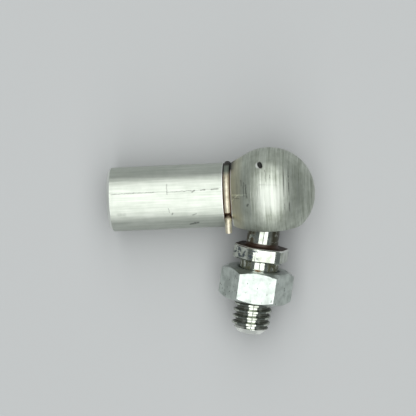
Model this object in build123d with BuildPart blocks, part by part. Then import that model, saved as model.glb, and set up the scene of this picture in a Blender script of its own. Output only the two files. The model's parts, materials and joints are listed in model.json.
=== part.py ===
from build123d import *
import os
from math import asin, atan2, cos, degrees, hypot, radians, sin, sqrt, tan

# Angle ball joint with a 10 mm ball, M6 threads and a wire retaining clip.
# It lies as it comes to rest: the ball head, the rim of the shank and one flat of the nut touch z = 0.
# The shank points to -X and the stud to -Y. The origin is the middle of the base of its box.

# ---------------------------------------------------------------- driving dimensions, mm and degrees
# Ball stud, measured along its axis from the ball centre
ball_radius = 5.0
ball_flat_radius = 1.6
stud_neck_radius = 2.5
stud_neck_root = 0.4
collar_across_flats = 8.0
collar_thickness = 2.15
collar_edge_break = 0.2
collar_seat = 10.6
thread_radius = 3.0
thread_length = 11.6
thread_end_chamfer = 1.1

# Socket housing, measured along the shank from the ball centre
head_radius = 7.1
head_cone_angle = 28.0
mouth_height = 4.8
ball_clearance = 0.05
shank_radius = 5.0
shank_length = 25.0
shank_chamfer = 0.45
groove_wall = 0.73
groove_side_clearance = 0.08
neck_radius = 4.2
groove_edge_break = 0.06
rod_drill_radius = 2.5
rod_drill_depth = 13.5
rod_countersink_radius = 3.2
drill_point_angle = 118.0
socket_point_angle = 118.0
countersink_angle = 90.0

# Retaining clip, bent from round spring wire
wire_radius = 0.5
wire_clearance = 0.05
wire_end_chamfer = 0.16
chord_height = 2.75
chord_ball_gap = 0.12
chord_half_length = 2.7
chord_bend_radius = 1.0
back_bend_radius = 1.0
tail_bend_radius = 0.8
tail_length = 2.05
ring_end_angle = 17.6

# Hexagon nut
nut_across_flats = 10.0
nut_thickness = 5.0
nut_chamfer_angle = 30.0
nut_face_ratio = 0.95
nut_thread_clearance = 0.05
nut_countersink = 0.35
nut_gap = 1.45

# Rest attitude; a hexagon turned by half its corner angle has one flat up
housing_roll = 16.0
stud_lean = 10.5
flat_up = 30.0
collar_turn = -12.3

# ---------------------------------------------------------------- rest attitude, worked out from the sizes
# The shank dips until its rim touches the base, and the stud until the flat of its nut does.
rim_reach = shank_length - shank_chamfer
shank_dip = asin(head_radius / hypot(rim_reach, shank_radius)) - atan2(shank_radius, rim_reach)
nut_flat_radius = nut_across_flats / 2
nut_face_drop = nut_flat_radius * (1 - nut_face_ratio) * tan(radians(nut_chamfer_angle))
nut_near = collar_seat + nut_gap
nut_reach = nut_near + nut_thickness - nut_face_drop
stud_dip = asin(head_radius / hypot(nut_reach, nut_flat_radius)) - atan2(nut_flat_radius, nut_reach)
lean = radians(stud_lean)
roll = radians(housing_roll)

shank_axis = Vector(-cos(shank_dip), 0, -sin(shank_dip))
shank_up = Vector(-sin(shank_dip), 0, cos(shank_dip))
mouth_axis = Vector(0, -cos(roll), 0) - shank_up * sin(roll)
housing_front = Vector(0, -sin(roll), 0) + shank_up * cos(roll)
stud_axis = Vector(-sin(lean) * cos(stud_dip), -cos(lean) * cos(stud_dip), -sin(stud_dip))
stud_up = Vector(-sin(lean) * sin(stud_dip), -cos(lean) * sin(stud_dip), cos(stud_dip))

# The ball centre stands where the whole joint's box is centred on the origin.
stud_length = collar_seat + thread_length
stud_end_radius = thread_radius - thread_end_chamfer
shank_span = shank_length * cos(shank_dip) + (shank_radius - shank_chamfer) * sin(shank_dip)
stud_cross = sqrt(1 - stud_axis.Y**2)
stud_span = max(
    stud_length * -stud_axis.Y + stud_end_radius * stud_cross,
    (stud_length - thread_end_chamfer) * -stud_axis.Y + thread_radius * stud_cross,
)
ball_centre = Vector((shank_span - head_radius) / 2, (stud_span - head_radius) / 2, head_radius)

# Housing frame: x along the shank away from the ball, y out of the mouth, z to the front.
housing_frame = Plane(ball_centre, x_dir=shank_axis, z_dir=housing_front)
mouth_plane = Plane(ball_centre + mouth_axis * mouth_height, x_dir=shank_axis, z_dir=mouth_axis)
shank_end = Plane(ball_centre + shank_axis * shank_length, x_dir=housing_front, z_dir=shank_axis)
# Stud frame: z along the stud away from the ball, x up.
stud_frame = Plane(ball_centre, x_dir=stud_up, z_dir=stud_axis)
stud_section = Plane(ball_centre, x_dir=stud_axis, z_dir=stud_axis.cross(stud_up))

# ---------------------------------------------------------------- sizes that follow from the others
socket_radius = ball_radius + ball_clearance
# The groove stands a wall beyond the socket, and the head runs into a cone that ends at its edge.
groove_half = wire_radius + groove_side_clearance
groove_start = socket_radius + groove_wall
groove_centre = groove_start + groove_half
groove_end = groove_centre + groove_half
cone_start = head_radius * sin(radians(head_cone_angle))
cone_start_radius = head_radius * cos(radians(head_cone_angle))
ring_radius = neck_radius + wire_clearance + wire_radius
slot_half = wire_radius + 2 * wire_clearance
# The chord slopes from both ends to a rounded tip, which stands a gap clear of the ball.
chord_reach = sqrt((ball_radius + chord_ball_gap + wire_radius) ** 2 - chord_height**2)
tip_bend_depth = groove_centre - chord_reach - chord_bend_radius
tip_bend_distance = hypot(chord_half_length, tip_bend_depth)
chord_slope = asin(chord_bend_radius / tip_bend_distance) + atan2(tip_bend_depth, chord_half_length)
chord_corner = chord_half_length * tan(chord_slope)
window_half = chord_half_length + wire_clearance
# The socket's drill point is tangent to the sphere that is the ball and its clearance.
socket_point = socket_radius / sin(radians(socket_point_angle / 2))
socket_shoulder = socket_point - socket_radius / tan(radians(socket_point_angle / 2))

# ---------------------------------------------------------------- socket housing
# Turned from bar about the shank axis, then faced, bored for the ball and slotted for the clip.
with BuildPart() as socket_housing:
    with BuildSketch(housing_frame):
        with BuildLine():
            CenterArc((0, 0), head_radius, 90 - head_cone_angle, 90 + head_cone_angle)
            Polyline(
                (cone_start, cone_start_radius),
                (groove_start - groove_edge_break, shank_radius),
                (groove_start, shank_radius - groove_edge_break),
                (groove_start, neck_radius),
                (groove_end, neck_radius),
                (groove_end, shank_radius - groove_edge_break),
                (groove_end + groove_edge_break, shank_radius),
                (shank_length - shank_chamfer, shank_radius),
                (shank_length, shank_radius - shank_chamfer),
                (shank_length, 0),
                (-head_radius, 0),
            )
        make_face()
    revolve(axis=Axis(ball_centre, shank_axis))

    # Flat mouth, faced by a cutter that runs out in the groove
    with BuildSketch(mouth_plane):
        Circle(groove_centre)
    extrude(amount=head_radius, mode=Mode.SUBTRACT)

    # Socket bored for the ball, with a drill point that leaves room for grease
    with BuildSketch(housing_frame):
        with BuildLine():
            Polyline(
                (0, -socket_point),
                (socket_radius, -socket_shoulder),
                (socket_radius, mouth_height),
                (0, mouth_height),
                close=True,
            )
        make_face()
    revolve(axis=Axis(ball_centre, mouth_axis), mode=Mode.SUBTRACT)

    # Blind tapped hole in the shank, with a countersunk mouth and a drill point
    with Locations(shank_end):
        CounterSinkHole(rod_drill_radius, rod_countersink_radius, rod_drill_depth, countersink_angle)
    with Locations(shank_end.offset(-rod_drill_depth)):
        Cone(
            0,
            rod_drill_radius,
            rod_drill_radius / tan(radians(drill_point_angle / 2)),
            align=(Align.CENTER, Align.CENTER, Align.MAX),
            mode=Mode.SUBTRACT,
        )

    # Slot through the neck, and the window from it into the socket, for the chord of the clip
    with BuildSketch(housing_frame):
        with Locations((groove_centre, chord_height)):
            Rectangle(2 * groove_half, 2 * slot_half)
    extrude(amount=shank_radius, both=True, mode=Mode.SUBTRACT)
    with BuildSketch(housing_frame):
        with Locations((chord_reach - slot_half, chord_height)):
            Rectangle(groove_start - chord_reach + slot_half, 2 * slot_half, align=(Align.MIN, Align.CENTER))
    extrude(amount=window_half, both=True, mode=Mode.SUBTRACT)
socket_housing.part.label = "socket_housing"

# ---------------------------------------------------------------- retaining clip
# One wire: a tail, a chord bowed towards the ball through the housing, and a ring round the neck.
# Its frame has x out of the mouth, y to the front and z along the shank.
clip_frame = Plane(ball_centre + shank_axis * groove_centre, x_dir=mouth_axis, z_dir=shank_axis)
back_centre_height = chord_height - back_bend_radius
back_centre_depth = -sqrt((ring_radius - back_bend_radius) ** 2 - back_centre_height**2)
back_turn = degrees(atan2(back_centre_height, -back_centre_depth))
with BuildPart() as retaining_clip:
    with BuildLine(clip_frame) as clip_path:
        CenterArc((0, 0), ring_radius, 90 - ring_end_angle, 180 + ring_end_angle + back_turn)
        CenterArc((back_centre_height, back_centre_depth), back_bend_radius, back_turn - 90, 90 - back_turn)
        FilletPolyline(
            (chord_height, back_centre_depth, 0),
            (chord_height, -chord_half_length, 0),
            (chord_height, 0, -chord_corner),
            (chord_height, chord_half_length, 0),
            (chord_height, ring_radius, 0),
            (chord_height + tail_length, ring_radius, 0),
            radius=[chord_bend_radius] * 3 + [tail_bend_radius],
        )
    wire_path = clip_path.wire()
    with BuildSketch(Plane(wire_path @ 0, z_dir=wire_path % 0)):
        Circle(wire_radius)
    sweep(path=wire_path)
    wire_ends = retaining_clip.faces().filter_by(GeomType.PLANE)
    chamfer(wire_ends.edges(), wire_end_chamfer)
retaining_clip.part.label = "retaining_clip"

# ---------------------------------------------------------------- ball stud
# Turned about its own axis, with a hexagon collar for a wrench between the neck and the thread.
neck_leaves_ball = sqrt(ball_radius**2 - stud_neck_radius**2)
ball_flat = sqrt(ball_radius**2 - ball_flat_radius**2)
flat_angle = degrees(asin(ball_flat_radius / ball_radius))
neck_angle = degrees(asin(stud_neck_radius / ball_radius))
collar_start = collar_seat - collar_thickness
with BuildPart() as ball_stud:
    with BuildSketch(stud_frame.offset(collar_start)):
        RegularPolygon(collar_across_flats / 2, 6, major_radius=False, rotation=flat_up + collar_turn)
    extrude(amount=collar_thickness)
    collar_rims = ball_stud.edges().filter_by(Axis(ball_centre, stud_axis), reverse=True)
    chamfer(collar_rims, collar_edge_break)
    with BuildSketch(stud_section):
        with BuildLine():
            CenterArc((0, 0), ball_radius, neck_angle, 180 - flat_angle - neck_angle)
            Polyline(
                (neck_leaves_ball, stud_neck_radius),
                (collar_start - stud_neck_root, stud_neck_radius),
                (collar_start, stud_neck_radius + stud_neck_root),
                (collar_start, thread_radius),
                (stud_length - thread_end_chamfer, thread_radius),
                (stud_length, stud_end_radius),
                (stud_length, 0),
                (-ball_flat, 0),
                (-ball_flat, ball_flat_radius),
            )
        make_face()
    revolve(axis=Axis(ball_centre, stud_axis))
ball_stud.part.label = "ball_stud"

# ---------------------------------------------------------------- hexagon nut
nut_corner_radius = nut_flat_radius / cos(radians(flat_up))
nut_face_radius = nut_flat_radius * nut_face_ratio
nut_corner_drop = (nut_corner_radius - nut_face_radius) * tan(radians(nut_chamfer_angle))
nut_bore_radius = thread_radius + nut_thread_clearance
with BuildPart() as hex_nut:
    with BuildSketch(stud_frame.offset(nut_near)):
        RegularPolygon(nut_flat_radius, 6, major_radius=False, rotation=flat_up)
    extrude(amount=nut_thickness)
    # Both faces chamfered by turning, which leaves an arc on each flat
    with BuildSketch(stud_section):
        with BuildLine():
            Polyline(
                (nut_near, 0),
                (nut_near, nut_face_radius),
                (nut_near + nut_corner_drop, nut_corner_radius),
                (nut_near + nut_thickness - nut_corner_drop, nut_corner_radius),
                (nut_near + nut_thickness, nut_face_radius),
                (nut_near + nut_thickness, 0),
                close=True,
            )
        make_face()
    revolve(axis=Axis(ball_centre, stud_axis), mode=Mode.INTERSECT)
    with Locations(stud_frame.offset(nut_near + nut_thickness)):
        Hole(nut_bore_radius, nut_thickness)
    bore_rims = hex_nut.edges().filter_by(GeomType.CIRCLE).group_by(SortBy.RADIUS)[0]
    chamfer(bore_rims, nut_countersink)
hex_nut.part.label = "hex_nut"

# ---------------------------------------------------------------- written pieces
os.makedirs("parts", exist_ok=True)
export_step(socket_housing.part, "parts/socket_housing.step")
export_step(retaining_clip.part, "parts/retaining_clip.step")
export_step(ball_stud.part, "parts/ball_stud.step")
export_step(hex_nut.part, "parts/hex_nut.step")
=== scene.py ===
import json
from math import asin, atan2, ceil, cos, degrees, pi, radians, sin, sqrt, tan

import bmesh
import bpy
import numpy as np
from mathutils import Matrix, Vector


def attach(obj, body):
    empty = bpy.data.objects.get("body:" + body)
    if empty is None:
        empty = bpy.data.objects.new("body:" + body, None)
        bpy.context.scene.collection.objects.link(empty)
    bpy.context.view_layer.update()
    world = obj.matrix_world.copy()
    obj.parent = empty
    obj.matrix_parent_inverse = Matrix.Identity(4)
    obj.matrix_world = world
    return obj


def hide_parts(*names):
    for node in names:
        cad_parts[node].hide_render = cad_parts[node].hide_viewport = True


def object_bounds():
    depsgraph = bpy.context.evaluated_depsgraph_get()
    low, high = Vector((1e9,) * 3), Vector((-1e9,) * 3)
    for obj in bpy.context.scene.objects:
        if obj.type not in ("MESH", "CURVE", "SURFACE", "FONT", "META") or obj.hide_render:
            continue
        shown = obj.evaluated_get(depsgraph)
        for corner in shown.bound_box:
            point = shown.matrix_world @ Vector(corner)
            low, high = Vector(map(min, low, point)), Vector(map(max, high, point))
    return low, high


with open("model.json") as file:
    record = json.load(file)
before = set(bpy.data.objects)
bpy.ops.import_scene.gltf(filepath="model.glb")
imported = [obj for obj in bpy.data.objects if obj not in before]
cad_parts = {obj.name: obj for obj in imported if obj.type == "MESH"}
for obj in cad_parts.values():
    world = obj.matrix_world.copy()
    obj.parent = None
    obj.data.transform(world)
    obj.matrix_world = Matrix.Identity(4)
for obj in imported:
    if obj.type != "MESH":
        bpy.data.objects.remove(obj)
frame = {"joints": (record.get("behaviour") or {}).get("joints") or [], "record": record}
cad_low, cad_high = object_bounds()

# ---------------------------------------------------------------- camera
# It looks straight down on the joint as it lies, turned a little so that the shank climbs to the right.
# The joint's axes come from the record: the ball centre, the shank, the way to its front and the stud.
MM = 0.001
joints = {joint["name"]: joint for joint in frame["joints"]}
mounts = {mount["name"]: mount for mount in frame["record"]["mounts"]}
ball_centre = Vector(joints["ball_tilt"]["pos_m"])
housing_front = Vector(joints["ball_tilt"]["axis"]).normalized()
shank_axis = Vector(mounts["rod_thread"]["axis"]).normalized()
mouth_axis = housing_front.cross(shank_axis).normalized()
stud_axis = Vector(joints["nut_travel"]["axis"]).normalized()

camera_turn = radians(-2.46)
camera_height = 300 * MM
view_width = 64.8 * MM
ball_right_of_middle = 9.58 * MM
ball_above_middle = 2.38 * MM
view_right = Vector((cos(camera_turn), sin(camera_turn), 0))
view_up = Vector((-sin(camera_turn), cos(camera_turn), 0))
camera_data = bpy.data.cameras.new("camera")
camera_data.lens = camera_data.sensor_width * camera_height / view_width
camera_data.clip_start = 10 * MM
camera_data.clip_end = 10
camera = bpy.data.objects.new("camera", camera_data)
camera.location = ball_centre - view_right * ball_right_of_middle - view_up * ball_above_middle
camera.location.z += camera_height
camera.rotation_euler = (0, 0, camera_turn)
bpy.context.scene.collection.objects.link(camera)
bpy.context.scene.camera = camera
bpy.context.scene.view_settings.view_transform = "Standard"

# ---------------------------------------------------------------- floor and light
# A plain pale floor under two long soft panels, side by side overhead with a narrow dark gap between them.
# The gap runs across the shank, and a grey room fills the shadows.


def from_hex(code):
    """The linear colour of an sRGB hex code."""
    parts = [int(code[i : i + 2], 16) / 255 for i in (1, 3, 5)]
    return tuple(c / 12.92 if c <= 0.04045 else ((c + 0.055) / 1.055) ** 2.4 for c in parts) + (1.0,)


def add_node(tree, kind, inputs=(), **settings):
    """Adds one node with its settings, and sets or links its inputs by name or number."""
    node = tree.nodes.new(kind)
    for name, value in settings.items():
        setattr(node, name, value)
    for key, value in dict(inputs).items():
        if isinstance(value, bpy.types.NodeSocket):
            tree.links.new(value, node.inputs[key])
        else:
            node.inputs[key].default_value = value
    return node


def new_material(name):
    """A material with an empty tree."""
    material = bpy.data.materials.new(name)
    material.use_nodes = True
    material.node_tree.nodes.clear()
    return material, material.node_tree


# Material: board with dull grey emulsion paint, rolled on, which shows soft shadows and no gloss.
painted_board, tree = new_material("painted_board")
paint = {"Base Color": from_hex("#B0B2B2"), "Roughness": 0.9, "Specular IOR Level": 0.1}
paint = add_node(tree, "ShaderNodeBsdfPrincipled", paint).outputs["BSDF"]
add_node(tree, "ShaderNodeOutputMaterial", {"Surface": paint})

floor_half = 4.0
floor_level = cad_low.z - 0.005 * MM
floor_corners = ((-1, -1), (1, -1), (1, 1), (-1, 1))
floor_corners = [(x * floor_half, y * floor_half, floor_level) for x, y in floor_corners]
floor_mesh = bpy.data.meshes.new("floor")
floor_mesh.from_pydata(floor_corners, [], [(0, 1, 2, 3)])
floor_mesh.materials.append(painted_board)
floor = bpy.data.objects.new("floor", floor_mesh)
bpy.context.scene.collection.objects.link(floor)

# Seen from the joint, with angles from straight up, each panel reaches from its inner to its outer angle
# aside and from its back to its front angle lengthwise. Its energy is its radiance times pi times its area.
panel_height = 2.0
panel_inner = radians(2.5)
panel_outer = radians(30)
panel_back = radians(70)
panel_front = radians(81)
panel_radiance = 2.4
panel_width = panel_height * (tan(panel_outer) - tan(panel_inner))
panel_length = panel_height * (tan(panel_back) + tan(panel_front))
panel_aside = panel_height * (tan(panel_outer) + tan(panel_inner)) / 2
panel_behind = panel_height * (tan(panel_back) - tan(panel_front)) / 2
for side in (-1, 1):
    panel_data = bpy.data.lights.new("panel", "AREA")
    panel_data.shape = "RECTANGLE"
    panel_data.size = panel_width
    panel_data.size_y = panel_length
    panel_data.energy = panel_radiance * pi * panel_width * panel_length
    panel = bpy.data.objects.new("panel", panel_data)
    panel.location = (ball_centre.x + side * panel_aside, ball_centre.y + panel_behind, panel_height)
    bpy.context.scene.collection.objects.link(panel)

room = bpy.data.worlds.new("room")
room.use_nodes = True
room.node_tree.nodes["Background"].inputs["Color"].default_value = from_hex("#777C7D")
bpy.context.scene.world = room

# ---------------------------------------------------------------- socket housing
# Turned from drawn round steel and zinc plated: a ball head, a groove for the clip, and a shank tapped M6.
# The shank keeps the drawn bar's lengthwise lines, and the head has fine rings from the lathe.
# All sizes are in millimetres, and those along the shank or out of the mouth count from the ball centre.
head_radius = 7.1
mouth_height = 4.8
socket_radius = 5.05
shank_radius = 5.0
shank_length = 25.0
shank_chamfer = 0.45
cone_start = radians(62)
groove_start = 5.78
groove_end = 6.94
groove_middle = 6.36
groove_floor = 4.2
edge_break = 0.06
rod_crest = 2.5
rod_root = 3.0
rod_countersink = 0.7
rod_depth = 13.5
drill_half_angle = radians(59)
slot_low = 2.15
slot_high = 3.35
slot_reach = 3.7
window_reach = 4.3
window_half = 2.75
dent = Vector((-1.5, 4.3, 5.42)).normalized() * head_radius
dent_half_sizes = Vector((0.38, 0.8, 0.36))
segments = 120
segment_angles = np.arange(segments) * 2 * pi / segments
head_steps = 64
weld_distance = 0.002
sliver_length = 0.0001


def add_skin(bm, rings):
    """Joins rings of (along, radius) with faces. Each is a number or one per segment; radius 0 is a point."""
    previous = None
    for along, radius in rings:
        if np.ndim(radius) == 0 and radius == 0:
            ring = [bm.verts.new((0, 0, along))] * segments
        else:
            x, y = radius * np.cos(segment_angles), radius * np.sin(segment_angles)
            ring = [bm.verts.new(place) for place in zip(*np.broadcast_arrays(x, y, along))]
        if previous:
            for i in range(segments):
                j = (i + 1) % segments
                corners = [previous[i], previous[j], ring[j], ring[i]]
                bm.faces.new(list(dict.fromkeys(corners)))
        previous = ring


def new_tree(name, kinds, result):
    """An empty Geometry Nodes tree with named inputs, and the identifiers by which a modifier sets them."""
    tree = bpy.data.node_groups.new(name, "GeometryNodeTree")
    identifiers = {}
    for label, kind in kinds.items():
        socket = tree.interface.new_socket(label, in_out="INPUT", socket_type=kind)
        identifiers[label] = socket.identifier
    tree.interface.new_socket(result, in_out="OUTPUT", socket_type="NodeSocketGeometry")
    return tree, identifiers, add_node(tree, "NodeGroupInput").outputs


def end_tree(tree, geometry, material):
    """Makes what a tree has built real, and gives it its material."""
    real = add_node(tree, "GeometryNodeRealizeInstances", {0: geometry})
    coated = add_node(tree, "GeometryNodeSetMaterial", {"Geometry": real.outputs[0], "Material": material})
    add_node(tree, "NodeGroupOutput", {0: coated.outputs[0]})


def thread_tree():
    """A tree that rolls a grid into a screw thread along +Z, in millimetres."""
    names = ("Pitch", "Crest Radius", "Root Radius", "Crest Flat", "Root Flat", "Start", "End")
    names += ("Start Runout", "End Runout", "End Radius", "End Cone")
    kinds = dict.fromkeys(names, "NodeSocketFloat")
    kinds |= {"Turns": "NodeSocketInt", "Segments": "NodeSocketInt", "Material": "NodeSocketMaterial"}
    tree, identifiers, given = new_tree("screw_thread", kinds, "Thread")
    value = {name: given[name] for name in kinds}
    faces = add_node(tree, "ShaderNodeMath", {0: value["Turns"], 1: value["Segments"]}, operation="MULTIPLY")
    columns = add_node(tree, "ShaderNodeMath", {0: faces.outputs[0], 1: 1.0}, operation="ADD").outputs[0]
    profile_points = 17
    seam_width = 0.0005
    grid = {"Size X": 1.0, "Size Y": 1.0, "Vertices X": columns, "Vertices Y": profile_points}
    grid = add_node(tree, "GeometryNodeMeshGrid", grid).outputs[0]
    on_grid = add_node(tree, "GeometryNodeInputPosition").outputs[0]
    on_grid = add_node(tree, "ShaderNodeSeparateXYZ", {0: on_grid}).outputs
    value |= {"grid x": on_grid[0], "grid y": on_grid[1]}
    # Each line is a name, an operation and its operands. The grid's x runs along the turns and its y over the
    # profile. The depth is 0 at the crest and 1 at the root, and it fades over the runout at both ends.
    steps = (
        ("share", "ADD", "grid x", 0.5),
        ("turn", "MULTIPLY", "share", "Turns"),
        ("rise", "ADD", "turn", "grid y"),
        ("climb", "SUBTRACT", "rise", 0.5),
        ("height", "MULTIPLY_ADD", "climb", "Pitch", "Start"),
        ("height", "MAXIMUM", "height", "Start"),
        ("height", "MINIMUM", "height", "End"),
        ("off crest", "ABSOLUTE", "grid y"),
        ("off crest", "MULTIPLY_ADD", "Crest Flat", -0.5, "off crest"),
        ("both flats", "ADD", "Crest Flat", "Root Flat"),
        ("flank", "MULTIPLY_ADD", "both flats", -0.5, 0.5),
        ("depth", "DIVIDE", "off crest", "flank"),
        ("from start", "SUBTRACT", "height", "Start"),
        ("from end", "SUBTRACT", "End", "height"),
        ("start fade", "DIVIDE", "from start", "Start Runout"),
        ("end fade", "DIVIDE", "from end", "End Runout"),
        ("depth", "MULTIPLY", "depth", "start fade"),
        ("depth", "MULTIPLY", "depth", "end fade"),
        ("deepest", "SUBTRACT", "Root Radius", "Crest Radius"),
        ("radius", "MULTIPLY_ADD", "depth", "deepest", "Crest Radius"),
        ("cone", "MULTIPLY_ADD", "from end", "End Cone", "End Radius"),
        ("radius", "MINIMUM", "radius", "cone"),
        ("angle", "MULTIPLY", "turn", 2 * pi),
        ("cosine", "COSINE", "angle"),
        ("sine", "SINE", "angle"),
        ("x", "MULTIPLY", "radius", "cosine"),
        ("y", "MULTIPLY", "radius", "sine"),
    )
    for name, operation, *operands in steps:
        inputs = {i: value.get(operand, operand) for i, operand in enumerate(operands)}
        clamped = name in ("depth", "start fade", "end fade")
        step = add_node(tree, "ShaderNodeMath", inputs, operation=operation, use_clamp=clamped)
        value[name] = step.outputs[0]
    rolled = add_node(tree, "ShaderNodeCombineXYZ", {0: value["x"], 1: value["y"], 2: value["height"]})
    moved = add_node(tree, "GeometryNodeSetPosition", {"Geometry": grid, "Position": rolled.outputs[0]})
    joined = {"Geometry": moved.outputs[0], "Distance": seam_width}
    joined = add_node(tree, "GeometryNodeMergeByDistance", joined)
    end_tree(tree, joined.outputs[0], given["Material"])
    return tree, identifiers


def plain_mesh(tool, name):
    """The evaluated mesh of an object, on its own; the object and its modifiers go."""
    bpy.context.scene.collection.objects.link(tool)
    bpy.context.view_layer.update()
    mesh = bpy.data.meshes.new_from_object(tool.evaluated_get(bpy.context.evaluated_depsgraph_get()))
    mesh.name = name
    bpy.data.objects.remove(tool)
    return mesh


def run_tree(tree, identifiers, blank, inputs, name):
    """The mesh that a tree makes of a blank, with the tree's inputs set."""
    modifier = blank.modifiers.new(tree.name, "NODES")
    modifier.node_group = tree
    for label, value in inputs.items():
        modifier[identifiers[label]] = value
    return plain_mesh(blank, name)


screw_thread = thread_tree()


def add_thread(bm, material, sizes):
    """Adds a thread of 1 mm pitch to a mesh that is being made along +Z; the sizes go by the tree's names."""
    inputs = {"Pitch": 1.0, "Crest Flat": 0.25, "Root Flat": 0.125, "Start Runout": 0.5, "End Runout": 0.5}
    # The end's cone starts out wider than any thread here, so it cuts nothing unless it is given
    inputs |= {"End Radius": 10.0, "End Cone": 0.0, "Segments": segments, "Material": material} | sizes
    inputs["Turns"] = ceil(inputs["End"] - inputs["Start"]) + 1
    blank = bpy.data.objects.new("thread_blank", bpy.data.meshes.new("thread_blank"))
    mesh = run_tree(*screw_thread, blank, inputs, "thread")
    bm.from_mesh(mesh)
    bpy.data.meshes.remove(mesh)


def closed_mesh(bm, name, place):
    """Welds a mesh as it was made, turns its faces outwards and puts it in its place."""
    bmesh.ops.remove_doubles(bm, verts=bm.verts, dist=weld_distance)
    bmesh.ops.dissolve_degenerate(bm, edges=bm.edges, dist=sliver_length)
    bmesh.ops.recalc_face_normals(bm, faces=bm.faces)
    mesh = bpy.data.meshes.new(name)
    bm.to_mesh(mesh)
    bm.free()
    mesh.transform(place)
    return mesh


def hand_over(mesh, material, body, node, sharp=30):
    """Smooths a finished mesh between its edges, and makes it the look of its node."""
    mesh.materials.clear()
    mesh.materials.append(material)
    mesh.polygons.foreach_set("material_index", [0] * len(mesh.polygons))
    mesh.shade_smooth()
    mesh.set_sharp_from_angle(angle=radians(sharp))
    piece = bpy.data.objects.new(mesh.name, mesh)
    bpy.context.scene.collection.objects.link(piece)
    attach(piece, body)
    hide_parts(node)


def placed(x_axis, y_axis, z_axis):
    """Takes what is in millimetres to the ball centre, and turns its own axes to these three."""
    turned = Matrix((x_axis, y_axis, z_axis)).transposed().to_4x4()
    return Matrix.Translation(ball_centre) @ turned @ Matrix.Scale(MM, 4)


def object_space(tree, axis, up):
    """Object coordinates in millimetres from the ball centre, X along the axis and Z up, and the radius."""
    turned = Matrix((axis, up.cross(axis), up)).transposed().to_euler()
    coordinates = add_node(tree, "ShaderNodeTexCoord").outputs["Object"]
    mapping = {"Vector": coordinates, "Location": ball_centre, "Rotation": turned, "Scale": (MM, MM, MM)}
    place = add_node(tree, "ShaderNodeMapping", mapping, vector_type="TEXTURE").outputs[0]
    off_axis = add_node(tree, "ShaderNodeVectorMath", {0: place, 1: (0, 1, 1)}, operation="MULTIPLY")
    radius = add_node(tree, "ShaderNodeVectorMath", {0: off_axis.outputs[0]}, operation="LENGTH")
    return place, radius.outputs["Value"]


def off(tree, value, middle):
    """How far a value lies from a middle, to either side."""
    gap = add_node(tree, "ShaderNodeMath", {0: value, 1: middle}, operation="SUBTRACT").outputs[0]
    return add_node(tree, "ShaderNodeMath", {0: gap}, operation="ABSOLUTE").outputs[0]


def within(tree, *bounds):
    """A mask of the spots inside all bounds; each is a value, where it fades out and where it is full."""
    mask = 1.0
    for value, outer, inner in bounds:
        share = {"Value": value, "From Min": outer, "From Max": inner}
        share = add_node(tree, "ShaderNodeMapRange", share).outputs[0]
        mask = add_node(tree, "ShaderNodeMath", {0: mask, 1: share}, operation="MULTIPLY").outputs[0]
    return mask


def any_of(tree, spots):
    """A mask of several spots, each with its own bounds."""
    mask = 0.0
    for bounds in spots:
        inside = within(tree, *bounds)
        mask = add_node(tree, "ShaderNodeMath", {0: mask, 1: inside}, operation="MAXIMUM").outputs[0]
    return mask


# A Mix node of colours lays one over another: inputs 6 and 7, and output 2
UNDER, OVER, MIXED = 6, 7, 2

# Material: drawn and turned bar, zinc plated. The plating is satin, a little green, and greyer on the turned
# head. The head has fine rings round the shank's axis, and the shank has faint lines along it. Brown grease
# sits in the groove.
shank_up = (Vector((0, 0, 1)) - shank_axis * shank_axis.z).normalized()
zinc_plated_steel, tree = new_material("zinc_plated_turned_steel")
place, radius = object_space(tree, shank_axis, shank_up)
along, across, up = add_node(tree, "ShaderNodeSeparateXYZ", {0: place}).outputs
from_ball = add_node(tree, "ShaderNodeVectorMath", {0: place}, operation="LENGTH").outputs["Value"]
on_shank = within(tree, (along, 6.3, 6.4))

# Turning and drawing leave lines of a few hundredths of a millimetre; they are drawn up to ten times as wide,
# to show. Each grain says how often it changes in a millimetre along, across and up.
noise = {}
grains = {
    "rings": (3.2, 0.1, 0.1),
    "fine rings": (9, 0.25, 0.25),
    "drawn": (0.12, 3, 3),
    "blotches": (0.6, 0.6, 0.6),
}
for name, per_mm in grains.items():
    stretched = add_node(tree, "ShaderNodeVectorMath", {0: place, 1: per_mm}, operation="MULTIPLY").outputs[0]
    cloud = {"Vector": stretched, "Scale": 1.0, "Detail": 3.0, "Roughness": 0.6}
    noise[name] = add_node(tree, "ShaderNodeTexNoise", cloud).outputs[0]
rings = {"Factor": 0.45, "A": noise["rings"], "B": noise["fine rings"]}
rings = add_node(tree, "ShaderNodeMix", rings).outputs[0]
grain = add_node(tree, "ShaderNodeMix", {"Factor": on_shank, "A": rings, "B": noise["drawn"]}).outputs[0]
shade = add_node(tree, "ShaderNodeMix", {"Factor": 0.3, "A": grain, "B": noise["blotches"]}).outputs[0]
shade = add_node(tree, "ShaderNodeMapRange", {"Value": shade, "From Min": 0.38, "From Max": 0.62}).outputs[0]
tones = {"Factor": shade, UNDER: from_hex("#959B8E"), OVER: from_hex("#C8CEC3")}
head_tone = add_node(tree, "ShaderNodeMix", tones, data_type="RGBA").outputs[MIXED]
tones = {"Factor": shade, UNDER: from_hex("#ADB3A9"), OVER: from_hex("#C2C7BE")}
shank_tone = add_node(tree, "ShaderNodeMix", tones, data_type="RGBA").outputs[MIXED]
# The cone behind the groove is stained a little yellow
yellowed = {"Value": along, "From Min": 3.6, "From Max": 4.7, "To Max": 0.65}
yellowed = add_node(tree, "ShaderNodeMapRange", yellowed).outputs[0]
tones = {"Factor": yellowed, UNDER: head_tone, OVER: from_hex("#BFBCA2")}
head_tone = add_node(tree, "ShaderNodeMix", tones, data_type="RGBA").outputs[MIXED]
tones = {"Factor": on_shank, UNDER: head_tone, OVER: shank_tone}
tone = add_node(tree, "ShaderNodeMix", tones, data_type="RGBA").outputs[MIXED]

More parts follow.
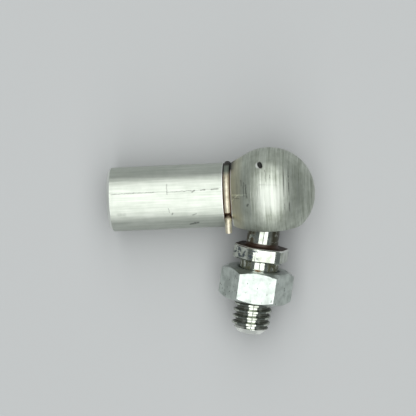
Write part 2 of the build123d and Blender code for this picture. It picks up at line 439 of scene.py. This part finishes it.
# Marks from use: start and end along and across the top, half width, and how dark, or below 0 how bright
marks = (
    ((7.6, -0.88), (8.6, -0.9), 0.15, 0.6),
    ((8.6, -0.9), (11.4, -0.8), 0.09, 0.35),
    ((9.6, -0.85), (10.3, -0.82), 0.14, 0.6),
    ((11.3, -0.8), (11.7, -0.6), 0.15, 0.6),
    ((11.4, -0.82), (15.5, -0.72), 0.1, 0.5),
    ((15.5, -0.8), (17.5, -0.82), 0.07, 0.25),
    ((17.5, -0.8), (24.2, -0.74), 0.11, 0.5),
    ((15.55, -1.9), (15.5, -0.4), 0.12, 0.45),
    ((11.0, 4.14), (12.4, 4.36), 0.15, 0.7),
    ((14.8, 2.55), (14.95, 2.75), 0.16, 0.6),
    ((15.4, 1.8), (15.3, 2.4), 0.09, 0.4),
    ((11.2, 2.78), (11.8, 2.95), 0.12, 0.5),
    ((22.3, 2.4), (23.3, 2.45), 0.3, 0.2),
    ((3.6, -1.7), (3.6, 0.4), 0.14, 0.5),
    ((3.25, -1.3), (3.2, 0.7), 0.14, 0.55),
    ((4.0, -2.0), (3.95, -1.2), 0.14, 0.45),
    ((3.05, 1.7), (3.15, 1.95), 0.2, 0.75),
    ((3.1, 0.25), (5.4, 0.15), 0.12, -0.6),
    ((4.6, 0.15), (5.5, 1.0), 0.1, -0.5),
    ((4.4, 0.75), (5.4, 0.6), 0.1, 0.5),
    ((1.1, -1.2), (-1.5, -1.05), 0.16, 0.3),
    ((0.2, -3.4), (0.15, -1.7), 0.12, 0.45),
)
# They tremble: a noise moves them by up to 0.3 mm, and its mean is taken off again. Below the axis the depth
# counts too, so that none shows on the underside.
tremble = Vector((0.3, 0.3, 0))
wander = add_node(tree, "ShaderNodeTexNoise", {"Vector": place, "Scale": 1.7, "Detail": 2.0}).outputs["Color"]
below = add_node(tree, "ShaderNodeMath", {0: up, 1: 0.0}, operation="MINIMUM").outputs[0]
on_top = add_node(tree, "ShaderNodeCombineXYZ", {0: along, 1: across, 2: below}).outputs[0]
on_top = {0: wander, 1: tremble, 2: on_top}
on_top = add_node(tree, "ShaderNodeVectorMath", on_top, operation="MULTIPLY_ADD").outputs[0]
strength = {"Value": noise["fine rings"], "From Min": 0.35, "From Max": 0.6, "To Min": 0.6}
strength = add_node(tree, "ShaderNodeMapRange", strength).outputs[0]
lines = []
for start, end, half_width, darkness in marks:
    start = Vector((*start, 0)) + tremble / 2
    way = Vector((*end, 0)) + tremble / 2 - start
    offset = add_node(tree, "ShaderNodeVectorMath", {0: on_top, 1: start}, operation="SUBTRACT").outputs[0]
    share = {0: offset, 1: way / way.length_squared}
    share = add_node(tree, "ShaderNodeVectorMath", share, operation="DOT_PRODUCT").outputs["Value"]
    share = add_node(tree, "ShaderNodeMath", {0: share, 1: 0.0}, operation="ADD", use_clamp=True).outputs[0]
    nearest = add_node(tree, "ShaderNodeVectorMath", {0: share, 1: way, 2: start}, operation="MULTIPLY_ADD")
    gap = add_node(tree, "ShaderNodeVectorMath", {0: on_top, 1: nearest.outputs[0]}, operation="DISTANCE")
    line = within(tree, (gap.outputs["Value"], half_width, half_width / 3))
    line = add_node(tree, "ShaderNodeMath", {0: line, 1: strength}, operation="MULTIPLY").outputs[0]
    lines.append((line, darkness))

# Three deeper rings from the tool on the head, broken here and there and fading towards the sides
aside = off(tree, across, 0)
for ring in (-0.5, -2.55, -3.28):
    ring_line = ((off(tree, along, ring), 0.14, 0.05), (noise["blotches"], 0.42, 0.55), (aside, 4.2, 2.2))
    lines.append((within(tree, *ring_line), 0.6))
wear = 1.0
for line, darkness in lines:
    left = add_node(tree, "ShaderNodeMath", {0: line, 1: -darkness, 2: 1.0}, operation="MULTIPLY_ADD")
    wear = add_node(tree, "ShaderNodeMath", {0: wear, 1: left.outputs[0]}, operation="MULTIPLY").outputs[0]
tone = add_node(tree, "ShaderNodeVectorMath", {0: tone, 1: wear}, operation="MULTIPLY").outputs[0]

# Rubbed bright: the shank's end and both rims of the groove, each by its middle and half width.
# The dent's lip on one side is a painted highlight. A painted highlight on top of the head is paler and
# a little smoother.
rims = ((24.78, 0.26), (6.98, 0.1), (5.7, 0.1))
rubbed_and_glint = [((off(tree, along, middle), half, half * 0.7), (radius, 4.45, 4.6)) for middle, half in rims]
dent_place = Vector((dent.dot(shank_axis), dent.dot(shank_up.cross(shank_axis)), dent.dot(shank_up)))
from_dent = add_node(tree, "ShaderNodeVectorMath", {0: place, 1: dent_place}, operation="DISTANCE")
from_dent = from_dent.outputs["Value"]
# Painted highlight: the dent's lip is bright on one side only
rubbed_and_glint += [((from_dent, 0.8, 0.55), (from_dent, 0.35, 0.5), (along, dent_place.x, dent_place.x + 0.4))]
rubbed_and_glint = any_of(tree, rubbed_and_glint)
# Painted highlight: a paler, smoother patch where the head's highlight falls
patch = (-0.3, 0.7, head_radius)
off_patch = add_node(tree, "ShaderNodeVectorMath", {0: place, 1: patch}, operation="DISTANCE")
off_patch = {0: noise["rings"], 1: -1.5, 2: off_patch.outputs["Value"]}
off_patch = add_node(tree, "ShaderNodeMath", off_patch, operation="MULTIPLY_ADD").outputs[0]
painted_highlight = within(tree, (off_patch, 2.2, 0.6))
tones = {"Factor": painted_highlight, UNDER: tone, OVER: from_hex("#BCC1B8")}
tone = add_node(tree, "ShaderNodeMix", tones, data_type="RGBA").outputs[MIXED]
tones = {"Factor": rubbed_and_glint, UNDER: tone, OVER: from_hex("#E4E7E2")}
tone = add_node(tree, "ShaderNodeMix", tones, data_type="RGBA").outputs[MIXED]

# Grease and dirt fill the groove and the socket. Painted shade darkens the dent, and lies almost black at
# the groove's back and on the cone beside it
off_groove = off(tree, along, groove_middle)
fills_and_shade = {
    "groove": ((off_groove, 0.66, 0.6), (radius, 4.98, 4.9)),
    "socket": ((from_ball, 5.4, 5.2), (off_groove, 0.6, 0.7)),
    # The dent's darkening is painted shade
    "dent": ((from_dent, 0.9, 0.7), (from_ball, 7.07, 6.93)),
    # Painted shade on the back of the cone, beside the groove
    "back of the cone": ((along, 4.7, 5.7), (along, 6.0, 5.9), (across, -2.6, -3.9)),
}
dirt_and_shade = any_of(tree, fills_and_shade.values())
# Painted shade: towards the back the groove's grease turns almost black
shade_at_back = within(tree, (across, -3.3, -3.9))
tones = {"Factor": shade_at_back, UNDER: from_hex("#5C4430"), OVER: from_hex("#1E1F1C")}
dirt_and_shade_tone = add_node(tree, "ShaderNodeMix", tones, data_type="RGBA").outputs[MIXED]
tones = {"Factor": dirt_and_shade, UNDER: tone, OVER: dirt_and_shade_tone}
tone = add_node(tree, "ShaderNodeMix", tones, data_type="RGBA").outputs[MIXED]
metal = add_node(tree, "ShaderNodeMath", {0: dirt_and_shade, 1: -0.9, 2: 1.0}, operation="MULTIPLY_ADD").outputs[0]
ring_dull = {"Value": rings, "From Min": 0.4, "From Max": 0.6, "To Min": 0.58, "To Max": 0.4}
ring_dull = add_node(tree, "ShaderNodeMapRange", ring_dull).outputs[0]
dull = add_node(tree, "ShaderNodeMix", {"Factor": on_shank, "A": ring_dull, "B": 0.4}).outputs[0]
dull = add_node(tree, "ShaderNodeMath", {0: painted_highlight, 1: -0.06, 2: dull}, operation="MULTIPLY_ADD").outputs[0]
dull = add_node(tree, "ShaderNodeMath", {0: dirt_and_shade, 1: 0.3, 2: dull}, operation="MULTIPLY_ADD").outputs[0]
height = add_node(tree, "ShaderNodeMapRange", {"Value": on_shank, "To Min": 1.0, "To Max": 0.3}).outputs[0]
height = add_node(tree, "ShaderNodeMath", {0: grain, 1: height}, operation="MULTIPLY").outputs[0]
relief = {"Height": height, "Strength": 1.0, "Distance": 0.05 * MM}
relief = add_node(tree, "ShaderNodeBump", relief).outputs[0]
finish = {"Base Color": tone, "Metallic": metal, "Roughness": dull, "Normal": relief}
finish = add_node(tree, "ShaderNodeBsdfPrincipled", finish).outputs["BSDF"]
add_node(tree, "ShaderNodeOutputMaterial", {"Surface": finish})

bm = bmesh.new()
head_angles = np.linspace(pi, cone_start, head_steps + 1)[1:]
head_rings = [(head_radius * cos(a), head_radius * sin(a)) for a in head_angles]
shank_rings = [
    (groove_start - edge_break, shank_radius),
    (groove_start, shank_radius - edge_break),
    (groove_start, groove_floor),
    (groove_end, groove_floor),
    (groove_end, shank_radius - edge_break),
    (groove_end + edge_break, shank_radius),
    (shank_length - shank_chamfer, shank_radius),
    (shank_length, shank_radius - shank_chamfer),
    (shank_length, rod_crest + rod_countersink),
    (shank_length - rod_countersink, rod_crest),
]
hole_bottom = shank_length - rod_depth
add_skin(bm, [(-head_radius, 0)] + head_rings + shank_rings)
add_skin(bm, [(hole_bottom, rod_crest), (hole_bottom - rod_crest / tan(drill_half_angle), 0)])
tapped = {"Start": hole_bottom, "End": shank_length - rod_countersink}
tapped |= {"Crest Radius": rod_crest, "Root Radius": rod_root}
add_thread(bm, zinc_plated_steel, tapped)
shank_place = placed(shank_up, shank_axis.cross(shank_up), shank_axis)
housing_blank = bpy.data.objects.new("housing_blank", closed_mesh(bm, "housing_blank", shank_place))


def block(low, high):
    """A box cutter between two corners: along the shank, out of the mouth and to the front."""
    low, high = Vector(low), Vector(high)
    bm = bmesh.new()
    bmesh.ops.create_cube(bm, size=1)
    place = placed(shank_axis, mouth_axis, housing_front) @ Matrix.Translation((low + high) / 2)
    return closed_mesh(bm, "cutter", place @ Matrix.Diagonal([*(high - low), 1]))


def turned_cutter(rings):
    """A cutter turned about the mouth's axis."""
    bm = bmesh.new()
    add_skin(bm, rings)
    return closed_mesh(bm, "cutter", placed(housing_front, mouth_axis.cross(housing_front), mouth_axis))


bm = bmesh.new()
bmesh.ops.create_uvsphere(bm, u_segments=24, v_segments=16, radius=1)
pit_place = Matrix.Translation(ball_centre + dent * MM) @ dent.to_track_quat("Z", "Y").to_matrix().to_4x4()
dent_pit = closed_mesh(bm, "cutter", pit_place @ Matrix.Diagonal([*(dent_half_sizes * MM), 1]))

socket_point = socket_radius / sin(drill_half_angle)
socket_shoulder = socket_point - socket_radius / tan(drill_half_angle)
clear = head_radius + 1
slot_overlap = 0.02
window_overlap = 0.01
slot_start, slot_end = groove_start - slot_overlap, groove_end + slot_overlap
mouth_rings = [(mouth_height, 0), (mouth_height, groove_middle), (clear, groove_middle), (clear, 0)]
seat_rings = [(-socket_point, 0), (-socket_shoulder, socket_radius), (clear, socket_radius), (clear, 0)]
# In turn: the flat round the mouth, the ball's seat, the clip's slot, the window for its bend, and the dent
cutters = (
    turned_cutter(mouth_rings),
    turned_cutter(seat_rings),
    block((slot_start, slot_low, -slot_reach), (slot_end, slot_high, slot_reach)),
    block((window_reach, slot_low, -window_half), (groove_start + window_overlap, slot_high, window_half)),
    dent_pit,
)
cutter_objects = [bpy.data.objects.new("cutter", cutter) for cutter in cutters]
for cutter_object in cutter_objects:
    bpy.context.scene.collection.objects.link(cutter_object)
    cut = housing_blank.modifiers.new("cut", "BOOLEAN")
    cut.operation = "DIFFERENCE"
    cut.solver = "EXACT"
    cut.object = cutter_object
housing_mesh = plain_mesh(housing_blank, "socket_housing_turned")
for cutter_object in cutter_objects:
    bpy.data.objects.remove(cutter_object)
hand_over(housing_mesh, zinc_plated_steel, "housing", "socket_housing")

# ---------------------------------------------------------------- retaining clip
# One length of drawn spring wire: a ring in the groove, a chord through the housing under the ball, and a
# tail. It is sprung over the neck and holds the ball in the socket.
wire_radius = 0.5
wire_sides = 24
ring_radius = 4.75
ring_end_angle = 72.4
ring_steps = 60
chord_height = 2.75
chord_half = 2.7
chord_corner = 1.626
bend_radius = 1.0
bend_steps = 10
tail_bend = 0.8
tail_length = 2.05


def arc(centre, radius, start, end, steps):
    """Points of an arc in the plane of the ring, angles in degrees."""
    angles = [radians(start + (end - start) * i / steps) for i in range(steps + 1)]
    return [Vector((centre[0] + radius * cos(a), centre[1] + radius * sin(a), 0)) for a in angles]


def rounded(points, radii, steps=8):
    """A path with an arc at each inner corner."""
    path = [points[0]]
    for before, corner, after, radius in zip(points, points[1:], points[2:], radii):
        coming = (before - corner).normalized()
        going = (after - corner).normalized()
        half = coming.angle(going) / 2
        reach = radius / tan(half)
        middle = corner + (coming + going).normalized() * radius / sin(half)
        first = corner + coming * reach - middle
        last = corner + going * reach - middle
        whole = first.angle(last)
        for i in range(steps + 1):
            share = i / steps
            path.append(middle + (first * sin((1 - share) * whole) + last * sin(share * whole)) / sin(whole))
    path.append(points[-1])
    return path


back_height = chord_height - bend_radius
back_depth = -sqrt((ring_radius - bend_radius) ** 2 - back_height**2)
back_turn = degrees(atan2(back_height, -back_depth))
wire_path = arc((0, 0), ring_radius, ring_end_angle, 270 + back_turn, ring_steps)
wire_path += arc((back_height, back_depth), bend_radius, back_turn - 90, 0, bend_steps)[1:]
corners = (
    (chord_height, back_depth, 0),
    (chord_height, -chord_half, 0),
    (chord_height, 0, -chord_corner),
    (chord_height, chord_half, 0),
    (chord_height, ring_radius, 0),
    (chord_height + tail_length, ring_radius, 0),
)
wire_path += rounded([Vector(corner) for corner in corners], [bend_radius] * 3 + [tail_bend])[1:]

# The cut ends are rounded over: the distance from the end, and the share of the wire's radius there
end_steps = ((0.0, 0.55), (0.02, 0.72), (0.06, 0.86), (0.12, 0.95), (0.2, 1.0))
start_way = (wire_path[1] - wire_path[0]).normalized()
end_way = (wire_path[-2] - wire_path[-1]).normalized()
start_points = [(wire_path[0] + start_way * far, share) for far, share in end_steps]
end_points = [(wire_path[-1] + end_way * far, share) for far, share in reversed(end_steps)]
wire_points = start_points + [(point, 1.0) for point in wire_path[1:-1]] + end_points

wire_curve = bpy.data.curves.new("clip_wire", "CURVE")
wire_curve.dimensions = "3D"
spline = wire_curve.splines.new("POLY")
spline.points.add(len(wire_points) - 1)
for point, (position, share) in zip(spline.points, wire_points):
    point.co = (*position, 1)
    point.radius = share

# Material: cold drawn spring steel, bright and a little warm. The die leaves fine lines along the wire, which
# show as a soft sheen. Brown grease dries along both sides in the groove. Painted shade turns the wire grey
# and its grease black towards the back, and lays the far back almost black.
spring_steel, tree = new_material("drawn_spring_steel")
place, radius = object_space(tree, shank_axis, shank_up)
along, across = add_node(tree, "ShaderNodeSeparateXYZ", {0: place}).outputs[:2]
off_groove = off(tree, along, groove_middle)
stains = add_node(tree, "ShaderNodeTexNoise", {"Vector": place, "Scale": 1.3, "Detail": 3.0}).outputs[0]
reach = add_node(tree, "ShaderNodeMath", {0: stains, 1: 0.35, 2: off_groove}, operation="MULTIPLY_ADD")
in_groove = ((reach.outputs[0], 0.41, 0.5), (radius, 5.15, 5.0))
# Painted shade: the far back of the wire is laid almost black
shade_far_back = ((across, -4.3, -4.6),)
grease_and_shade = any_of(tree, (in_groove, shade_far_back))
worn = within(tree, (stains, 0.35, 0.65))
# Painted shade: towards the back the wire turns grey and its grease black
shade_near_back = within(tree, (across, -2.8, -3.6))
tones = {"Factor": worn, UNDER: from_hex("#C4BDA6"), OVER: from_hex("#E2DCC8")}
bare = add_node(tree, "ShaderNodeMix", tones, data_type="RGBA").outputs[MIXED]
tones = {"Factor": shade_near_back, UNDER: bare, OVER: from_hex("#7F867C")}
bare = add_node(tree, "ShaderNodeMix", tones, data_type="RGBA").outputs[MIXED]
tones = {"Factor": shade_near_back, UNDER: from_hex("#75563D"), OVER: from_hex("#26241F")}
grease_and_shade_tone = add_node(tree, "ShaderNodeMix", tones, data_type="RGBA").outputs[MIXED]
tones = {"Factor": grease_and_shade, UNDER: bare, OVER: grease_and_shade_tone}
tone = add_node(tree, "ShaderNodeMix", tones, data_type="RGBA").outputs[MIXED]
metal = add_node(tree, "ShaderNodeMath", {0: grease_and_shade, 1: -0.7, 2: 1.0}, operation="MULTIPLY_ADD").outputs[0]
dull = add_node(tree, "ShaderNodeMath", {0: grease_and_shade, 1: 0.1, 2: 0.55}, operation="MULTIPLY_ADD").outputs[0]
finish = {"Base Color": tone, "Metallic": metal, "Roughness": dull}
finish = add_node(tree, "ShaderNodeBsdfPrincipled", finish).outputs["BSDF"]
add_node(tree, "ShaderNodeOutputMaterial", {"Surface": finish})

wire_kinds = {"Path": "NodeSocketGeometry", "Wire Radius": "NodeSocketFloat"}
wire_kinds |= {"Sides": "NodeSocketInt", "Material": "NodeSocketMaterial"}
bent_wire, wire_sockets, given = new_tree("bent_wire", wire_kinds, "Wire")
section = {"Resolution": given["Sides"], "Radius": given["Wire Radius"]}
section = add_node(bent_wire, "GeometryNodeCurvePrimitiveCircle", section).outputs[0]
swept = {"Curve": given["Path"], "Profile Curve": section, "Fill Caps": True}
swept = add_node(bent_wire, "GeometryNodeCurveToMesh", swept).outputs[0]
end_tree(bent_wire, swept, given["Material"])

wire_inputs = {"Wire Radius": wire_radius, "Sides": wire_sides, "Material": spring_steel}
wire_blank = bpy.data.objects.new("clip_wire", wire_curve)
clip_mesh = run_tree(bent_wire, wire_sockets, wire_blank, wire_inputs, "retaining_clip_wire")
into_groove = Matrix.Translation(shank_axis * groove_middle * MM)
clip_mesh.transform(into_groove @ placed(mouth_axis, housing_front, shank_axis))
hand_over(clip_mesh, spring_steel, "housing", "retaining_clip", sharp=45)

# ---------------------------------------------------------------- ball stud
# Turned from steel bar and zinc plated: a 10 mm ball, a hexagon collar for a wrench, and a rolled M6 thread.
# The ball snaps into the housing's socket, where the clip holds it, and turns and tilts there.
ball_radius = 5.0
ball_flat_radius = 1.6
ball_steps = 48
neck_radius = 2.5
neck_root = 0.4
neck_root_steps = 5
collar_half_flats = 4.0
collar_near = 8.45
collar_seat = 10.6
collar_edge = 0.2
collar_turn = radians(-12.3)
collar_sharpness = 14
thread_crest = 3.0
thread_root = 2.42
thread_start = 12.1
stud_end = 22.2
stud_end_radius = 1.9
stud_end_chamfer = 1.1

# Material: bright zinc plating over ground and rolled steel, smooth enough to mirror both panels as two thin
# streaks. The neck's root and the collar's near face are dark brown, and the collar's sides are stained.
# Painted shade darkens the sides of the neck and of the shank before the nut, and the thread's roots at the
# sides. Painted highlights brighten the collar's edges and the stud's end.
stud_up = (Vector((0, 0, 1)) - stud_axis * stud_axis.z).normalized()
bright_zinc_steel, tree = new_material("bright_zinc_plated_steel")
place, radius = object_space(tree, stud_axis, stud_up)
along, across = add_node(tree, "ShaderNodeSeparateXYZ", {0: place}).outputs[:2]
aside = off(tree, across, 0)
clouds = add_node(tree, "ShaderNodeTexNoise", {"Vector": place, "Scale": 0.9, "Detail": 3.0}).outputs[0]
spots = add_node(tree, "ShaderNodeTexNoise", {"Vector": place, "Scale": 1.5, "Detail": 2.0}).outputs[0]
worn = within(tree, (clouds, 0.35, 0.6))
tones = {"Factor": worn, UNDER: from_hex("#9DA297"), OVER: from_hex("#C3C8BF")}
tone = add_node(tree, "ShaderNodeMix", tones, data_type="RGBA").outputs[MIXED]
on_neck = ((along, 4.6, 4.8), (along, 8.5, 8.4))
on_collar = ((along, 8.55, 8.8), (along, 10.5, 10.2), (radius, 3.4, 3.6))
before_nut = ((along, 10.6, 10.7), (along, 12.1, 12.0))
by_nut = ((along, 11.8, 11.95), (along, 12.3, 12.15))
# Each layer is a colour and the bounds inside which it lies, from the lowest layer to the highest
stains_and_shade = {
    "one side of the collar": ("#454D51", (spots, 0.5, 0.62), (across, -0.2, -1.0), *on_collar),
    # Painted shade, mottled: the sides of the neck are darker
    "sides of the neck": ("#4F4B39", (spots, 0.4, 0.52), (aside, 1.1, 1.6), *on_neck),
    # Painted shade, mottled: the right side of the neck is darker still
    "right of the neck": ("#3A3828", (spots, 0.3, 0.42), (across, 0.9, 1.5), *on_neck),
    # Painted shade, mottled: the sides of the shank between the collar and the nut are darker
    "shank before the nut": ("#5B5D48", (spots, 0.42, 0.52), (aside, 1.0, 1.5), *before_nut),
    # Dark brown round the neck's root and the collar's near face
    "dark at the neck's root": ("#3B2B1F", (along, 8.56, 8.48), (along, 7.75, 7.95)),
    "rust by the nut": ("#8A6A44", (across, -0.8, -0.4), (across, 0.5, 0.1), *by_nut),
    # Painted shade: the thread's roots are darker on the sides
    "roots of the thread": ("#53574D", (radius, 2.9, 2.7), (along, 12.2, 12.4), (aside, 0.9, 1.5)),
}
# Painted highlights: bright bands on the collar's edges and on the stud's end
painted_highlights = {
    "near edge of the collar": ("#E0E3DD", (along, 8.46, 8.5), (along, 8.72, 8.66), (radius, 3.5, 3.7)),
    "far edge of the collar": ("#DFE2DC", (along, 10.38, 10.44), (along, 10.7, 10.62), (radius, 3.5, 3.7)),
    "end of the stud": ("#E1E4DE", (along, 21.1, 21.5)),
}
# The stains and the painted shade make the surface less metallic and rougher
dirt_and_shade = 0.0
for layer, (colour, *bounds) in (stains_and_shade | painted_highlights).items():
    inside = within(tree, *bounds)
    tones = {"Factor": inside, UNDER: tone, OVER: from_hex(colour)}
    tone = add_node(tree, "ShaderNodeMix", tones, data_type="RGBA").outputs[MIXED]
    if layer in stains_and_shade:
        dirt_and_shade = add_node(tree, "ShaderNodeMath", {0: dirt_and_shade, 1: inside}, operation="MAXIMUM").outputs[0]
metal = add_node(tree, "ShaderNodeMath", {0: dirt_and_shade, 1: -0.6, 2: 1.0}, operation="MULTIPLY_ADD").outputs[0]
sawn_end = {"Value": along, "From Min": 21.9, "From Max": 22.1, "To Min": 0.1, "To Max": 0.3}
sawn_end = add_node(tree, "ShaderNodeMapRange", sawn_end).outputs[0]
dull = add_node(tree, "ShaderNodeMath", {0: dirt_and_shade, 1: 0.35, 2: sawn_end}, operation="MULTIPLY_ADD").outputs[0]
finish = {"Base Color": tone, "Metallic": metal, "Roughness": dull}
finish = add_node(tree, "ShaderNodeBsdfPrincipled", finish).outputs["BSDF"]
add_node(tree, "ShaderNodeOutputMaterial", {"Surface": finish})


def hexagon(half_flats, sharpness):
    """Radius of a hexagon for each segment; its corners and flats are rounder the lower the sharpness."""
    facing = [np.maximum(np.cos(segment_angles - k * pi / 3), 0) ** sharpness for k in range(6)]
    return half_flats / sum(facing) ** (1 / sharpness)


ball_start = pi - asin(ball_flat_radius / ball_radius)
ball_stop = asin(neck_radius / ball_radius)
ball_angles = np.linspace(ball_start, ball_stop, ball_steps + 1)
ball_rings = [(ball_radius * cos(a), ball_radius * sin(a)) for a in ball_angles]
root_rings = [
    (collar_near - neck_root * (1 - sin(a)), neck_radius + neck_root * (1 - cos(a)))
    for a in np.linspace(0, pi / 2, neck_root_steps + 1)
]
collar_face = hexagon(collar_half_flats - collar_edge, collar_sharpness)
collar_side = hexagon(collar_half_flats, collar_sharpness)
collar_rings = [
    (collar_near, collar_face),
    (collar_near + collar_edge, collar_side),
    (collar_seat - collar_edge, collar_side),
    (collar_seat, collar_face),
    (collar_seat, thread_crest),
    (thread_start, thread_crest),
]
bm = bmesh.new()
add_skin(bm, [(ball_rings[0][0], 0)] + ball_rings + root_rings + collar_rings)
add_skin(bm, [(stud_end, stud_end_radius), (stud_end, 0)])
rolled = {"Start": thread_start, "End": stud_end, "Crest Radius": thread_crest, "Root Radius": thread_root}
# The thread runs at full depth into the end's chamfer
rolled |= {"Root Flat": 0.3, "End Runout": 0.001, "End Radius": stud_end_radius}
rolled |= {"End Cone": (thread_crest - stud_end_radius) / stud_end_chamfer}
add_thread(bm, bright_zinc_steel, rolled)
stud_place = placed(stud_up, stud_axis.cross(stud_up), stud_axis)
stud_mesh = closed_mesh(bm, "ball_stud_turned", stud_place @ Matrix.Rotation(collar_turn, 4, "Z"))
hand_over(stud_mesh, bright_zinc_steel, "stud", "ball_stud")

# ---------------------------------------------------------------- hexagon nut
# A cold formed M6 nut, 10 mm across flats and 5 mm thick, zinc plated, with both faces chamfered.
# It is run up the stud's thread, and is not tight against the collar.
nut_half_flats = 5.0
nut_near = 12.05
nut_far = 17.05
nut_face_radius = 4.75
nut_chamfer = tan(radians(30))
nut_sharpness = 70
bore_radius = 3.05
bore_root = 3.45
bore_countersink = 0.35

# Material: zinc plating over cold formed steel, a cooler white than the housing, with a faint mottle of dull
# spots. The punched chamfers and bore are as smooth as the flats.
nut_steel, tree = new_material("zinc_plated_nut_steel")
place = object_space(tree, stud_axis, stud_up)[0]
clouds = add_node(tree, "ShaderNodeTexNoise", {"Vector": place, "Scale": 0.8, "Detail": 4.0}).outputs[0]
spots = add_node(tree, "ShaderNodeTexNoise", {"Vector": place, "Scale": 2.2, "Detail": 1.0}).outputs[0]
tones = {"Factor": within(tree, (clouds, 0.35, 0.6)), UNDER: from_hex("#A9B1AB"), OVER: from_hex("#C6CEC8")}
tone = add_node(tree, "ShaderNodeMix", tones, data_type="RGBA").outputs[MIXED]
tones = {"Factor": within(tree, (spots, 0.66, 0.76)), UNDER: tone, OVER: from_hex("#6B736D")}
tone = add_node(tree, "ShaderNodeMix", tones, data_type="RGBA").outputs[MIXED]
dull = {"Value": clouds, "From Min": 0.35, "From Max": 0.65, "To Min": 0.36, "To Max": 0.28}
dull = add_node(tree, "ShaderNodeMapRange", dull).outputs[0]
finish = {"Base Color": tone, "Metallic": 1.0, "Roughness": dull}
finish = add_node(tree, "ShaderNodeBsdfPrincipled", finish).outputs["BSDF"]
add_node(tree, "ShaderNodeOutputMaterial", {"Surface": finish})

nut_side = hexagon(nut_half_flats, nut_sharpness)
nut_drop = (nut_side - nut_face_radius) * nut_chamfer
nut_rings = [
    (nut_near + bore_countersink, bore_radius),
    (nut_near, bore_radius + bore_countersink),
    (nut_near, nut_face_radius),
    (nut_near + nut_drop, nut_side),
    (nut_far - nut_drop, nut_side),
    (nut_far, nut_face_radius),
    (nut_far, bore_radius + bore_countersink),
    (nut_far - bore_countersink, bore_radius),
]
bm = bmesh.new()
add_skin(bm, nut_rings)
tapped = {"Start": nut_near + bore_countersink, "End": nut_far - bore_countersink}
tapped |= {"Crest Radius": bore_radius, "Root Radius": bore_root}
add_thread(bm, nut_steel, tapped)
hand_over(closed_mesh(bm, "hex_nut_formed", stud_place), nut_steel, "nut", "hex_nut")
